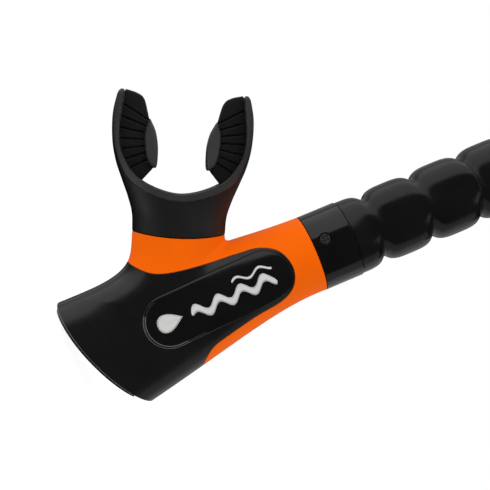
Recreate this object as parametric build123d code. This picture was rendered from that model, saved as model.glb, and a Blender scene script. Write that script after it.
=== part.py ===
"""Snorkel with a bottom purge chamber, a corrugated flexible hose and a float-valve dry top.

Units are millimetres. Everything is laid out in the tube frame: its origin is the junction, where the
tube's axis meets the mouthpiece's axis, with Z up the tube and -X towards the mouth. The last step moves
each piece so that the origin is the bite centre, midway between the two bite tabs.
"""

from build123d import *

import math
import os

# Layout
MOUTH_TILT = 25.0  # mouthpiece axis above the horizontal, degrees
BITE_REACH = 75.0  # junction to bite centre, along the mouthpiece axis
FIT = 0.12  # clearance between pieces that sit together

# Lower body
TUBE_R = 17.2  # outside of the tube end and of the hose collar
BORE_R = 12.2  # airway in the tube end
COVER_T = 2.0  # purge housing wall
SHELL_T = 1.9  # body shell wall under the housing
BODY_TOP = 65.1  # where the coloured shell ends and the collar starts
END_LEAN = 21.1  # the purge end's slant, degrees
END_MIDDLE = (6.4, -38.8)  # x, z of the purge end's crown
END_R = 130.0  # its gentle curve
COVER_PROUD = 1.2  # the purge cover's crown beyond the housing's rim
SEAT_DEEP = 12.5  # purge end's crown to the valve seat's outer face
SEAT_SHIFT = -1.5  # valve centre, along the slant
BADGE_R = 11.6  # half width of the oval badge
BADGE_PROUD = 0.7
BADGE_GROOVE = (1.9, 2.7)  # the badge's inner line: where it starts and ends, in from the edge
BADGE_GROOVE_DEEP = 0.4

# Mouthpiece port and mouthpiece, along (w) and across (u) the mouthpiece axis
PORT_END = 34.3
PORT_A, PORT_B = 20.05, 14.0
SPIGOT_A, SPIGOT_B = 17.2, 11.2
AIR_A, AIR_B = 15.2, 9.2
SPIGOT_LONG = 10.0
ARCH_DEEP = 14.5  # half height of the lip flange
BITE_DEEP = 3.2  # half thickness of a bite tab

# Collar, hose and barrel
SPIGOT_R = 15.1
COLLAR_BORE = 15.2
BUTTON_Z, BUTTON_TURN = 70.6, 21.0  # height, and turn from the side towards the mouth
BUTTON_R, BUTTON_TOP = 2.4, 16.95
BUTTON_FLANGE = 3.0
SEAL_Z = 74.9
SPIGOT_TOP = 76.2
HOSE_START = 82.2
NECK_R, CREST_R = 12.2, 16.8
PITCH = 23.5
FIRST_NECK = HOSE_START + 12.3
FULL_BULGES = 4
HOSE_WALL = 1.6
CUFF_R = 15.1
BEAD_R, BEAD_LONG = 16.0, 1.4
CUFF_LONG = 5.6
HOSE_END = HOSE_START + PITCH * (FULL_BULGES + 1) + 1.0
BARREL_R, BARREL_BORE = 12.5, 10.7
BARREL_START = HOSE_END + 7.6
BARREL_END = 352.0
COLLAR_TOP = HOSE_END + 24.0

# Keeper, about KEEPER_Z
KEEPER_Z = 262.0
SLEEVE_R, SLEEVE_HALF = 14.0, 20.0
RING_R, RING_HALF = 16.6, 17.6
FLANGE_T = 1.6
STRAP_W, STRAP_T = 26.0, 5.0
GATE_T = 3.0
EAR_Y = 6.0
PIN_R = 1.2
GRIPS, GRIP_STEP = 4, 15.0  # finger grooves each side of the middle, and the degrees between them
GRIP_R, GRIP_DEEP, GRIP_LONG = 1.6, 0.6, 26.0

# Dry top
SOCKET_R, SOCKET_START = 14.8, 338.0
BAY_X, BAY_R = 25.0, 10.6
HEAD_R = 13.6
HEAD_START, DECK_Z, TOP_Z = 350.0, 384.0, 404.0
DECK_T = 2.4
PORT_R = 5.6
FLOAT_R, FLOAT_START, FLOAT_LONG = 9.0, 355.0, 17.4
SEAL_T = 1.6
BAND_STARTS, BAND_HIGH, BAND_DEEP = (388.4, 391.4, 394.4), 1.2, 0.6  # grooves round the hood

tilt = math.radians(MOUTH_TILT)
MOUTH = Plane(
    origin=(0, 0, 0),
    x_dir=(math.sin(tilt), 0, math.cos(tilt)),
    z_dir=(-math.cos(tilt), 0, math.sin(tilt)),
)
JUNCTION = MOUTH.z_dir * -BITE_REACH
lean = math.radians(END_LEAN)
END_DIR = Vector(math.sin(lean), 0, -math.cos(lean))
SEAT = Plane(
    origin=Vector(END_MIDDLE[0], 0, END_MIDDLE[1]) - END_DIR * SEAT_DEEP,
    x_dir=(math.cos(lean), 0, math.sin(lean)),
    z_dir=END_DIR,
)


def tube(z0, z1, outer, inner, x=0.0):
    """A plain tube along Z."""
    return Pos(x, 0, z0) * extrude(Circle(outer) - Circle(inner), z1 - z0)


def rod(z0, z1, radius, x=0.0):
    """A plain cylinder along Z."""
    return Pos(x, 0, z0) * extrude(Circle(radius), z1 - z0)


def side_prism(sketch, depth=60.0):
    """A sketch drawn as (x, z), extruded both ways along Y."""
    return extrude(Plane.XZ * sketch, depth, both=True)


def mouth_prism(sketch, depth):
    """A sketch drawn as (across, along) the mouthpiece, extruded both ways along Y."""
    plane = Plane(origin=(0, 0, 0), x_dir=MOUTH.x_dir, z_dir=MOUTH.x_dir.cross(MOUTH.z_dir))
    return extrude(plane * sketch, depth, both=True)


def mouth_bar(a, b, w0, w1):
    """An oval bar along the mouthpiece axis."""
    return MOUTH.location * Pos(0, 0, w0) * extrude(Ellipse(a, b), w1 - w0)


def squircle(half_x, half_y, power, count=20):
    """A closed, smooth superellipse as a face in its own XY plane."""
    points = []
    for k in range(count):
        c, s = math.cos(math.tau * k / count), math.sin(math.tau * k / count)
        x = half_x * math.copysign(abs(c) ** (2 / power), c)
        y = half_y * math.copysign(abs(s) ** (2 / power), s)
        points.append((x, y))
    return make_face(Spline(*points, periodic=True))


def envelope(grow=0.0):
    """The outside of the lower body: a round tube that flares down into the purge chamber."""
    stations = (
        # z, x on the mouth side, x on the far side, half depth, squareness
        (BODY_TOP, -TUBE_R, TUBE_R, TUBE_R, 2.0),
        (36, -19.2, 19.6, 17.5, 2.05),
        (10, -21.4, 25.0, 17.9, 2.2),
        (-20, -22.7, 31.4, 18.4, 2.35),
        (-54, -22.9, 38.8, 19.0, 2.4),
    )
    faces = []
    for z, low, high, depth, power in stations:
        face = squircle((high - low) / 2 + grow, depth + grow, power)
        faces.append(Pos((low + high) / 2, 0, z) * face)
    return loft(faces)


def end_dome(inset):
    """Everything on the tube's side of the curved purge end, moved in by this much."""
    centre = Vector(END_MIDDLE[0], 0, END_MIDDLE[1]) - END_DIR * END_R
    return side_prism(Pos(centre.X, centre.Z) * Circle(END_R - inset))


def port():
    """The coloured stub that carries the mouthpiece, spreading where it leaves the body."""
    rim = Pos(0, 0, PORT_END) * Ellipse(PORT_A, PORT_B)
    waist = Pos(-0.1, 0, 26.0) * Ellipse(PORT_A + 0.3, PORT_B + 0.3)
    foot = Pos(-2.2, 0, 16.0) * Ellipse(PORT_A + 2.6, PORT_B + 1.0)
    root = Pos(-8.2, 0, 6.0) * Ellipse(PORT_A + 9.3, PORT_B)
    return MOUTH.location * loft([root, foot, waist, rim])


def housing_region():
    """Where the black housing shows, seen from the side: the flared end with a rounded tongue."""
    edge = Spline(
        (-34, -15),
        (-25.2, -8.0),
        (-19.2, 0.5),
        (-15.7, 17),
        (-14.2, 34),
        (-12.9, 43.5),
        (-8.4, 50.6),
        (0, 53.2),
        (7.9, 50.4),
        (12.1, 43.5),
        (13.8, 31),
        (17.0, 16),
        (18.7, 10),
        (22.4, 5.2),
        (28, 1.4),
        (42, -4),
    )
    sides = Polyline((42, -4), (42, -80), (-34, -80), (-34, -15))
    return side_prism(make_face(edge + sides))


def badge_region(shrink=0.0):
    """The oval badge's outline, leaning a little with the flare."""
    low, high = Vector(0.6, -2.6), Vector(-0.4, 40.4)
    along = high - low
    turn = math.degrees(math.atan2(along.Y, along.X))
    slot = SlotCenterToCenter(along.length, 2 * (BADGE_R - shrink))
    middle = (low + high) / 2
    return side_prism(Pos(middle.X, middle.Y) * Rot(0, 0, turn) * slot)


def lower_body():
    """Body shell, purge housing and the two badges."""
    outside, under, inner = envelope() + port(), envelope(-COVER_T), envelope(-COVER_T - SHELL_T)
    region = housing_region()
    below_badge = envelope(-1.0)
    plates = (envelope(BADGE_PROUD) - below_badge) & badge_region()
    groove = envelope(BADGE_PROUD + 1) - envelope(BADGE_PROUD - BADGE_GROOVE_DEEP)
    groove &= badge_region(BADGE_GROOVE[0]) - badge_region(BADGE_GROOVE[1])
    badges = plates - groove
    front = badges & Pos(0, -60, 0) * Box(160, 120, 200)
    back = badges & Pos(0, 60, 0) * Box(160, 120, 200)
    housing = (outside - under) & region & end_dome(COVER_PROUD)
    housing -= plates

    shell = outside & end_dome(6.2)
    shell -= (envelope(1.0) + port() - under) & region
    shell += tube(BODY_TOP - 1.0, SPIGOT_TOP, SPIGOT_R, BORE_R)
    shell += mouth_bar(SPIGOT_A, SPIGOT_B, PORT_END - 4.0, PORT_END + SPIGOT_LONG)
    shell += mouth_bar(SPIGOT_A + 0.5, SPIGOT_B + 0.5, PORT_END + 6.6, PORT_END + 8.4)
    ledge = inner - envelope(-COVER_T - SHELL_T - 1.8)
    ledge &= SEAT.location * Pos(0, 0, -2.7) * Box(120, 80, 1.4)
    shell -= (inner & Pos(0, 0, -14) * Box(160, 120, 120)) - ledge
    shell -= rod(30, SPIGOT_TOP + 1, BORE_R)
    shell -= mouth_bar(AIR_A, AIR_B, 6.0, PORT_END + SPIGOT_LONG + 1)
    shell -= tube(SEAL_Z - 0.85, SEAL_Z + 0.85, SPIGOT_R + 1, SPIGOT_R - 1.4)
    for side in (-1, 1):
        shell -= button_place(side) * rod(10.0, 16.0, BUTTON_FLANGE + 0.15)
    return {"body_shell": shell, "purge_housing": housing, "front_badge": front, "back_badge": back}


def purge_end():
    """Valve seat, one-way valve and the grille that covers it."""
    plate = SEAT.location * Pos(0, 0, -1.0) * Box(120, 80, 2.0)
    plate = plate & envelope(-COVER_T - SHELL_T - FIT)
    vents = Circle(11.4) - Rectangle(30, 2.2) - Rectangle(2.2, 30) - Circle(4.2)
    at_valve = SEAT.location * Pos(SEAT_SHIFT, 0, 0)
    plate -= at_valve * Pos(0, 0, -3.0) * extrude(vents, 5.0)
    plate -= at_valve * rod(-3.0, 1.0, 1.7)
    valve = at_valve * (rod(0.03, 0.9, 13.0) + rod(-4.2, 0.9, 1.62) + rod(-4.2, -3.7, 2.6))
    fit = envelope(-COVER_T - FIT)
    face = fit & (end_dome(0) - end_dome(2.0))
    rim = (fit - envelope(-COVER_T - FIT - 1.7)) & (end_dome(0.6) - end_dome(5.9))
    slots = Sketch()
    for k in (-1.5, -0.5, 0.5, 1.5):
        slots += Pos(12.4 * k, 0) * SlotOverall(24.0, 9.4, rotation=90)
    face -= SEAT.location * Pos(2.6, 0, 3.0) * extrude(slots, 20)
    return {"valve_seat": plate, "purge_valve": valve, "purge_cover": face + rim}


def mouthpiece():
    """Soft mouthpiece: neck, curved lip flange and two bite tabs."""
    neck = MOUTH.location * loft(
        [
            Pos(0, 0, PORT_END + FIT) * Ellipse(PORT_A, PORT_B),
            Pos(0, 0, 42.0) * Ellipse(PORT_A + 0.6, PORT_B - 0.2),
            Pos(0, 0, 49.0) * Ellipse(22.9, ARCH_DEEP - 1.0),
            Pos(0, 0, 56.0) * Ellipse(25.3, ARCH_DEEP - 0.5),
        ]
    )
    outer = Spline((-19.0, 43.0), (-24.6, 54.5), (-29.3, 73.0), (-28.4, 88.0), (-26.4, 93.2))
    tip = Line((-26.4, 93.2), (-24.8, 92.6))
    inner = Spline((-24.8, 92.6), (-26.6, 73.0), (-16.6, 56.2), (0, 51.0), tangents=((0, -1), (1, 0)))
    half = outer + tip + inner
    band = make_face(half + mirror(half, Plane.YZ) + Line((-19.0, 43.0), (19.0, 43.0)))
    crown = MOUTH.location * Pos(0, 0, 40) * extrude(RectangleRounded(62, 2 * ARCH_DEEP, 12.0), 60)
    arch = mouth_prism(band, ARCH_DEEP) & crown
    clear = make_face(inner + mirror(inner, Plane.YZ) + Line((-24.8, 92.6), (24.8, 92.6)))
    body = (neck - mouth_prism(clear, 40.0)) + arch
    tab = Spline((-18.2, 90.6), (-15.6, 83.0), (-12.8, 76.0), (-11.8, 66.0), (-13.0, 60.2), (-17.0, 57.2))
    back = Polyline((-17.0, 57.2), (-27.6, 66.0), (-28.0, 75.0), (-26.0, 92.0), (-18.2, 90.6))
    tab_face = make_face(tab + back)
    lip = Pos(-14.4, 69.0) * Rot(0, 0, -2) * SlotOverall(19.0, 5.2, rotation=90)
    for sketch, depth in ((tab_face, BITE_DEEP), (lip, BITE_DEEP + 3.4)):
        body += mouth_prism(sketch, depth)
        body += mouth_prism(mirror(sketch, Plane.YZ), depth)
    body -= mouth_bar(SPIGOT_A + 0.02, SPIGOT_B + 0.02, PORT_END - 1, PORT_END + SPIGOT_LONG + 0.3)
    body -= mouth_bar(SPIGOT_A + 0.52, SPIGOT_B + 0.52, PORT_END + 6.4, PORT_END + 8.6)
    body -= mouth_bar(AIR_A - 0.7, AIR_B - 0.7, PORT_END, 60.0)
    return {"mouthpiece": body}


def button_place(side):
    """Where a lock button sits: Z of the result points out through the collar. side is -1 in front."""
    return Pos(0, 0, BUTTON_Z) * Rot(0, 0, side * (90 + BUTTON_TURN)) * Rot(0, 90, 0)


def lower_collar():
    """Gloss collar over the spigot, its push buttons and their band spring, and the hose's insert."""
    bead = HOSE_START - CUFF_LONG
    collar = tube(BODY_TOP, HOSE_START, TUBE_R, COLLAR_BORE)
    collar -= tube(bead - 0.1, bead + BEAD_LONG + 0.1, BEAD_R + FIT, COLLAR_BORE - 0.01)
    pieces = {}
    for side, name in ((-1, "front_button"), (1, "back_button")):
        collar -= button_place(side) * rod(10, 20, BUTTON_R + 0.3)
        button = rod(BORE_R + 0.05, BUTTON_TOP, BUTTON_R) + rod(13.4, 14.6, BUTTON_FLANGE)
        pieces[name] = button_place(side) * button
    band = tube(BUTTON_Z - 3.0, BUTTON_Z + 3.0, BORE_R - 0.1, BORE_R - 0.6)
    band -= Pos(15, 0, BUTTON_Z) * Box(20, 40, 10)
    seal = revolve(Plane.XZ * Pos(SPIGOT_R - 0.62, SEAL_Z) * Circle(0.7), Axis.Z)
    insert = tube(SPIGOT_TOP + 0.2, HOSE_START, CUFF_R - HOSE_WALL - 0.05, BORE_R)
    pieces.update(hose_collar=collar, button_spring=band, spigot_seal=seal, lower_hose_insert=insert)
    return pieces


def hose_curve(z0, z1, inset):
    """The hose wall's outline between two heights: rounded bulges that meet in sharp necks."""
    pieces = []
    for k in range(-1, FULL_BULGES + 2):
        neck = FIRST_NECK + PITCH * (k - 1)
        low, high = max(neck, z0), min(neck + PITCH, z1)
        if high - low < 0.5:
            continue
        points = []
        for step in range(13):
            z = low + (high - low) * (1 - math.cos(math.pi * step / 12)) / 2
            across = abs(2 * (z - neck) / PITCH - 1)
            rise = round(math.sqrt(max(0, 1 - across**4)), 4)
            points.append((NECK_R - inset + (CREST_R - NECK_R) * rise, z))
        pieces.append(Spline(*points))
    return pieces


def hose():
    """Corrugated hose between its two end cuffs."""
    lip = 1.2
    low, high = HOSE_START + lip, HOSE_END - lip
    outer = hose_curve(low, high, 0)
    inner = hose_curve(HOSE_START + 3, HOSE_END - 3, HOSE_WALL)
    cuff_low, cuff_high = HOSE_START - CUFF_LONG, HOSE_END + CUFF_LONG
    cuff_in = CUFF_R - HOSE_WALL
    lower = Polyline(
        inner[0] @ 0,
        (cuff_in, HOSE_START),
        (cuff_in, cuff_low),
        (BEAD_R, cuff_low),
        (BEAD_R, cuff_low + BEAD_LONG),
        (CUFF_R, cuff_low + BEAD_LONG),
        (CUFF_R, HOSE_START),
        (CREST_R - 0.6, HOSE_START),
        outer[0] @ 0,
    )
    upper = Polyline(
        outer[-1] @ 1,
        (CREST_R - 0.6, HOSE_END),
        (CUFF_R, HOSE_END),
        (CUFF_R, cuff_high - BEAD_LONG),
        (BEAD_R, cuff_high - BEAD_LONG),
        (BEAD_R, cuff_high),
        (cuff_in, cuff_high),
        (cuff_in, HOSE_END),
        inner[-1] @ 1,
    )
    edges = outer + upper.edges() + inner[::-1] + lower.edges()
    return {"flex_hose": revolve(Plane.XZ * Face(Wire(edges)), Axis.Z)}


def barrel():
    """Straight barrel, the collar that joins it to the hose, and the trim ring above that."""
    start = HOSE_END
    outline = Polyline(
        (CUFF_R + 0.1, start),
        (TUBE_R, start),
        (TUBE_R, start + 15.0),
        (BARREL_R + 2.0, COLLAR_TOP),
        (BARREL_R + 0.03, COLLAR_TOP),
        (BARREL_R + 0.03, BARREL_START - 0.1),
        (BEAD_R + FIT, BARREL_START - 0.1),
        (BEAD_R + FIT, start + CUFF_LONG - BEAD_LONG - 0.1),
        (CUFF_R + 0.1, start + CUFF_LONG - BEAD_LONG - 0.1),
        close=True,
    )
    collar = revolve(Plane.XZ * make_face(outline), Axis.Z)
    insert = tube(start, BARREL_START - 0.3, CUFF_R - HOSE_WALL - 0.05, BORE_R)
    pipe = tube(BARREL_START, BARREL_END, BARREL_R, BARREL_BORE)
    trim = tube(COLLAR_TOP + 0.3, COLLAR_TOP + 4.3, BARREL_R + 1.1, BARREL_R + 0.03)
    trim = fillet(trim.edges().filter_by(GeomType.CIRCLE).group_by(SortBy.RADIUS)[-1], 0.8)
    return {"upper_collar": collar, "upper_hose_insert": insert, "barrel": pipe, "trim_ring": trim}


def keeper():
    """Mask strap keeper: a sleeve that slides, a ring that turns on it, and a hinged gate."""
    sleeve = tube(-SLEEVE_HALF, SLEEVE_HALF, SLEEVE_R, BARREL_R + 0.08)
    sleeve += tube(-SLEEVE_HALF, -SLEEVE_HALF + FLANGE_T, SLEEVE_R + 2.2, SLEEVE_R - 0.5)
    sleeve += tube(SLEEVE_HALF - FLANGE_T, SLEEVE_HALF, SLEEVE_R + 2.2, SLEEVE_R - 0.5)
    slot_in = RING_R + 0.6
    slot_out = slot_in + STRAP_T
    arm_low = STRAP_W / 2 + 0.2
    ring = rod(-RING_HALF, RING_HALF, RING_R)
    ring += Pos(-RING_R + 1.7, 0, 0) * Box(4.6, 2 * EAR_Y, 2 * RING_HALF)
    arm_out = slot_out + GATE_T + 0.6
    arm_long = arm_out - RING_R + 4
    for way in (-1, 1):
        arm = Pos(-arm_out + arm_long / 2, 0, way * (arm_low + RING_HALF) / 2)
        ring += arm * Box(arm_long, 2 * EAR_Y, RING_HALF - arm_low)
    ring -= rod(-RING_HALF - 1, RING_HALF + 1, SLEEVE_R + 0.1)
    hinge_x, hinge_z = -(slot_out + GATE_T / 2 + 0.3), (arm_low + RING_HALF) / 2
    notch = Box(2 * GATE_T + 1.4, 2 * EAR_Y - 4.0, RING_HALF - arm_low + 2)
    ring -= Pos(hinge_x - 0.9, 0, hinge_z + 0.4) * notch
    ring -= Pos(hinge_x, 0, hinge_z) * Rot(90, 0, 0) * Cylinder(PIN_R + 0.02, 20)
    ring = chamfer(ring.edges().filter_by(GeomType.CIRCLE).group_by(SortBy.RADIUS)[-1], 0.6)
    for k in range(-GRIPS, GRIPS + 1):
        groove = Pos(RING_R + GRIP_R - GRIP_DEEP, 0, 0) * Cylinder(GRIP_R, GRIP_LONG)
        ring -= Rot(0, 0, GRIP_STEP * k) * groove
    eye = Pos(hinge_x, 0, hinge_z) * Rot(90, 0, 0) * Cylinder(1.9, 2 * EAR_Y - 4.6)
    gate_low = -arm_low + 0.4
    gate = eye
    for wide, high in ((2 * EAR_Y - 4.6, hinge_z), (2 * EAR_Y, arm_low - 0.8)):
        gate += Pos(hinge_x, 0, (gate_low + high) / 2) * Box(GATE_T, wide, high - gate_low)
    gate -= Pos(hinge_x, 0, hinge_z) * Rot(90, 0, 0) * Cylinder(PIN_R + 0.08, 20)
    pin = Pos(hinge_x, 0, hinge_z) * Rot(90, 0, 0) * Cylinder(PIN_R, 2 * EAR_Y)
    pieces = {"keeper_sleeve": sleeve, "keeper_ring": ring, "keeper_gate": gate, "keeper_pin": pin}
    return {name: Pos(0, 0, KEEPER_Z) * shape for name, shape in pieces.items()}


def head_outline(grow):
    """The dry top's plan: one smooth outline round the barrel and the float bay."""
    return make_hull((Circle(HEAD_R + grow) + Pos(BAY_X, 0) * Circle(HEAD_R + grow)).edges())


def dry_top():
    """Dry top: body with float bay, float and its seal, retainer, gasket and the hood."""
    body = Pos(0, 0, HEAD_START) * extrude(head_outline(0), DECK_Z - HEAD_START)
    body = chamfer(body.faces().sort_by(Axis.Z)[0].edges(), 2.0)
    body += rod(SOCKET_START, HEAD_START + 3, SOCKET_R)
    body -= rod(SOCKET_START - 1, BARREL_END + 0.2, BARREL_R + 0.02)
    body -= rod(BARREL_END, DECK_Z + 1, BARREL_BORE)
    body -= rod(HEAD_START - 1, DECK_Z - DECK_T, BAY_R, BAY_X)
    body -= rod(DECK_Z - DECK_T - 1, DECK_Z + 1, PORT_R, BAY_X)
    window = Pos(BAY_X + HEAD_R, 0, 0) * Box(10, 5.0, 17.0)
    for turn in (-50, 0, 50):
        place = Pos(BAY_X, 0, 364) * Rot(0, 0, turn) * Pos(-BAY_X, 0, 0)
        body -= place * window

    holder = rod(HEAD_START, HEAD_START + 2.0, BAY_R - 0.1, BAY_X)
    holder += tube(HEAD_START + 1.0, FLOAT_START - 0.1, BAY_R - 0.1, BAY_R - 1.2, BAY_X)
    holder += tube(HEAD_START + 1.0, FLOAT_START - 0.1, 5.0, 3.6, BAY_X)
    for k in range(6):
        spot = Pos(BAY_X, 0, HEAD_START) * Rot(0, 0, 60 * k) * Pos(7.2, 0, 0)
        holder -= spot * Cylinder(1.5, 8)

    floater = rod(FLOAT_START, FLOAT_START + FLOAT_LONG, FLOAT_R, BAY_X)
    floater = fillet(floater.edges().filter_by(GeomType.CIRCLE), 1.4)
    top = FLOAT_START + FLOAT_LONG
    floater += rod(top - 0.5, top + 0.6, 2.0, BAY_X)
    pad = tube(top, top + SEAL_T, PORT_R + 1.6, 2.0, BAY_X)

    gasket = Pos(0, 0, DECK_Z) * extrude(head_outline(-0.4), 0.8)
    gasket -= rod(DECK_Z - 1, DECK_Z + 2, BARREL_BORE + 0.4)
    gasket -= rod(DECK_Z - 1, DECK_Z + 2, PORT_R + 1.0, BAY_X)

    cap_start = DECK_Z - 6.0
    cap = Pos(0, 0, cap_start) * extrude(head_outline(1.6), TOP_Z - cap_start)
    cap = fillet(cap.faces().sort_by(Axis.Z)[-1].edges(), 6.0)
    cap -= Pos(0, 0, cap_start - 1) * extrude(head_outline(FIT), DECK_Z + 2.0 - cap_start)
    for start in BAND_STARTS:
        band = head_outline(3.0) - head_outline(1.6 - BAND_DEEP)
        cap -= Pos(0, 0, start) * extrude(band, BAND_HIGH)
    room = Pos(0, 0, DECK_Z - 1) * extrude(head_outline(-1.0), TOP_Z - 2.0 - DECK_Z)
    cap -= fillet(room.faces().sort_by(Axis.Z)[-1].edges(), 4.0)
    return {
        "drytop_body": body,
        "float_retainer": holder,
        "float": floater,
        "float_seal": pad,
        "cap_gasket": gasket,
        "drytop_cap": cap,
    }


def main():
    os.makedirs("parts", exist_ok=True)
    for build in (lower_body, purge_end, mouthpiece, lower_collar, hose, barrel, keeper, dry_top):
        for name, shape in build().items():
            export_step(Pos(*JUNCTION) * shape, f"parts/{name}.step")


if __name__ == "__main__":
    main()
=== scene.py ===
# Looks for the snorkel: smooth moulded skins for the lower body, the mouthpiece and the hose, and a
# procedural material for every piece. Shapes are worked out in the tube frame, in millimetres: the origin
# is the junction of the tube's axis and the mouthpiece's axis, Z runs up the tube and -X is towards the
# mouth. place() turns them into the row frame, in metres.

import math

import bpy
import numpy as np
from mathutils import Matrix, Vector


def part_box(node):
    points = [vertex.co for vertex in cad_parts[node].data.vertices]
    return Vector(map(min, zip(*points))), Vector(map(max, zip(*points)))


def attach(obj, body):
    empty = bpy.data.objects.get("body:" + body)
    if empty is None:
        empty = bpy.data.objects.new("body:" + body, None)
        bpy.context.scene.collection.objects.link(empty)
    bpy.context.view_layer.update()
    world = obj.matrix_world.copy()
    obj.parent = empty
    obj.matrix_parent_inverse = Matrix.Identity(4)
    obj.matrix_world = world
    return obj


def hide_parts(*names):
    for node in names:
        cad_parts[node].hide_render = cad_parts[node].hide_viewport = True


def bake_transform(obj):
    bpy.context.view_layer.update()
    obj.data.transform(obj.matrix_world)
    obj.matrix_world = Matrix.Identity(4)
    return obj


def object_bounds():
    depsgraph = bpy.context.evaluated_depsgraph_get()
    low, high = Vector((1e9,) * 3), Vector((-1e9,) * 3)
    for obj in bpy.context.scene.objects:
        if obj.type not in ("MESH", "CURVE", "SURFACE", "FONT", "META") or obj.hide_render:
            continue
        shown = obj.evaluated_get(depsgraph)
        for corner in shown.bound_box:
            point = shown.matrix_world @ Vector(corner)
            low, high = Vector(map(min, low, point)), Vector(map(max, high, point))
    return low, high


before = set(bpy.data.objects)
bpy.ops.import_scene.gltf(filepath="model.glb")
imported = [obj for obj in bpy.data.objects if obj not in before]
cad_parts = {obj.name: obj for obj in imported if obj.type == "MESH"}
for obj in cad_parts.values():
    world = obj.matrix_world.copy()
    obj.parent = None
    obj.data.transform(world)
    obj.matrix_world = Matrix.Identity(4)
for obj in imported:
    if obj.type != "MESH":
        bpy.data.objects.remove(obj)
cad_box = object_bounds()
MM = 0.001

# Lower body
BODY_LOW, BODY_HIGH = (-46, -21, -56), (44, 21, 68)
BODY_STEP = 0.9  # the size of its skin's triangles
NEAR_LINE = 0.22 * BODY_STEP  # corners this near a cutting line are moved onto it
BODY_TOP = 65.1
TUBE_R = 17.2
BORE_R = 12.2
FLARE = np.array(
    (
        # z, x on the mouth side, x on the far side, half depth, squareness
        (BODY_TOP, -TUBE_R, TUBE_R, TUBE_R, 2.0),
        (36, -19.2, 19.6, 17.5, 2.05),
        (10, -21.4, 25.0, 17.9, 2.2),
        (-20, -22.7, 31.4, 18.4, 2.35),
        (-54, -22.9, 38.8, 19.0, 2.4),
    )
)
END_LEAN = math.radians(21.1)
END_DIR = np.array((math.sin(END_LEAN), 0, -math.cos(END_LEAN)))
END_MIDDLE = np.array((6.4, 0, -38.8))
END_R = 130.0
RIM_BACK = 1.2  # the housing's rim stands this far behind the purge cover's crown
SHELL_T = 1.9
SKIN_DEEP = 0.5  # a face less deep than this is on the outside
COLLAR_GAP = 0.25  # between the shell and the hose's collar
END_HIGHLIGHT_WIDE = 0.26  # the painted highlight line along the purge end is this wide
BADGE_LOW, BADGE_HIGH = np.array((0.6, -2.6)), np.array((-0.4, 40.4))
BADGE_R = 11.6
BADGE_T = 1.6
BADGE_PROUD = 0.45
BADGE_LIFT = 0.04  # the badge's edge stands this far out all round
BADGE_FADE_LOW, BADGE_FADE_HIGH, BADGE_FADE = 4.0, 30.0, 0.9  # its rise fades by this share between two z
BADGE_BEVEL = 1.05
BADGE_LINES = (0, 0.35, 0.75, 1.05, 1.4)  # mesh lines this far in from the badge's edge
BADGE_HIGHLIGHT_LINES = ((0, 0.35), (1.05, 1.4))  # the two painted highlight lines on the bevel round its proud end
HIGHLIGHT_WAY = np.array((0.6, -0.8))  # towards the part of that end where the painted highlight is strongest, the side the light comes from
HIGHLIGHT_BRIGHT, HIGHLIGHT_FAINT = 0.3, -0.3  # past these places that way, in badge radii, they are bright or faint
HIGHLIGHT_DEEP = 0.3
INK_T, START_DEEP = 0.05, 17.0  # the printing's thickness, and the depth its points are brought in from
WAVE_LONG = 10.3
DROP = (-0.2, 5.6)  # place along the badge, size
WAVES = (
    # start, end, place across the badge, half width, wave height
    (9.0, 47.5, -1.0, 1.8, 1.9),
    (29.5, 47.5, 4.4, 0.55, 1.2),
)
TONGUE = (
    # the black housing's upper edge seen from the side, as (x, z), from the mouth side round the tongue
    (-34, -15),
    (-25.2, -8.0),
    (-19.2, 0.5),
    (-15.7, 17),
    (-14.2, 34),
    (-12.9, 43.5),
    (-8.4, 50.6),
    (0, 53.2),
    (7.9, 50.4),
    (12.1, 43.5),
    (13.8, 31),
    (17.0, 16),
    (18.7, 10),
    (22.4, 5.2),
    (28, 1.4),
    (42, -4),
)

# Mouthpiece port and mouthpiece: w runs along the mouthpiece's axis and u across it
MOUTH_TILT = math.radians(25.0)
ACROSS = np.array((math.sin(MOUTH_TILT), 0, math.cos(MOUTH_TILT)))
ALONG = np.array((-math.cos(MOUTH_TILT), 0, math.sin(MOUTH_TILT)))
MOUTH_FRAME = np.stack((ACROSS, np.array((0, 1, 0)), ALONG))
PORT_END = 34.3
PORT_SAG, SAG_LIMIT = 1.8, 1.2  # how far the port's edge dips at its two broad sides
PORT_ACROSS = 26  # the port's end cuts the skin only up to this u
STUB_START, STUB_LOW, STUB_HIGH = 4, 5, 60  # where the port's tube starts, and its table's range
FILLET, FILLET_MORE = 2.6, 6.0  # between port and tube: small above the port, this much larger below it
FILLET_TOP, FILLET_RUN = 14, 22
PORT = np.array(
    (
        # w, centre u, half width, half depth
        (PORT_END, 0, 20.05, 14.0),
        (26, -0.1, 20.2, 14.3),
        (16, -1.4, 21.8, 15.0),
        (6, -6.2, 27.0, 14.0),
    )
)
SPIGOT, SPIGOT_BORE = (17.2, 11.2), (15.2, 9.2)
AIRWAY = (14.6, 8.6)
SPIGOT_LONG, SPIGOT_ROOT = 10.0, 8  # beyond the port's end and below it
SPIGOT_CELLS = 120
MOUTH_GAP = 0.12  # between the port's edge and the mouthpiece
TIP, TIP_ROUND = 94.4, 3.0
FLANK = np.array(
    (
        # w, half width, half depth, squareness
        (PORT_END, 20.05, 14.0, 2.0),
        (42, 20.5, 13.7, 2.0),
        (49, 22.5, 13.3, 2.15),
        (56, 25.2, 13.1, 2.5),
        (64, 28.1, 13.0, 3.1),
        (73, 29.8, 13.0, 3.7),
        (84, 29.9, 13.0, 4.0),
        (TIP, 27.8, 13.0, 4.0),
    )
)
FLANGE_ROUND = 1.6
# one side of the outline of the space between the flange's two sides, as (u, w)
OPENING = ((-24.4, 98.0), (-25.3, 88.0), (-26.5, 75.0), (-24.0, 64.6), (-15.8, 55.6), (0, 51.0))
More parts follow.
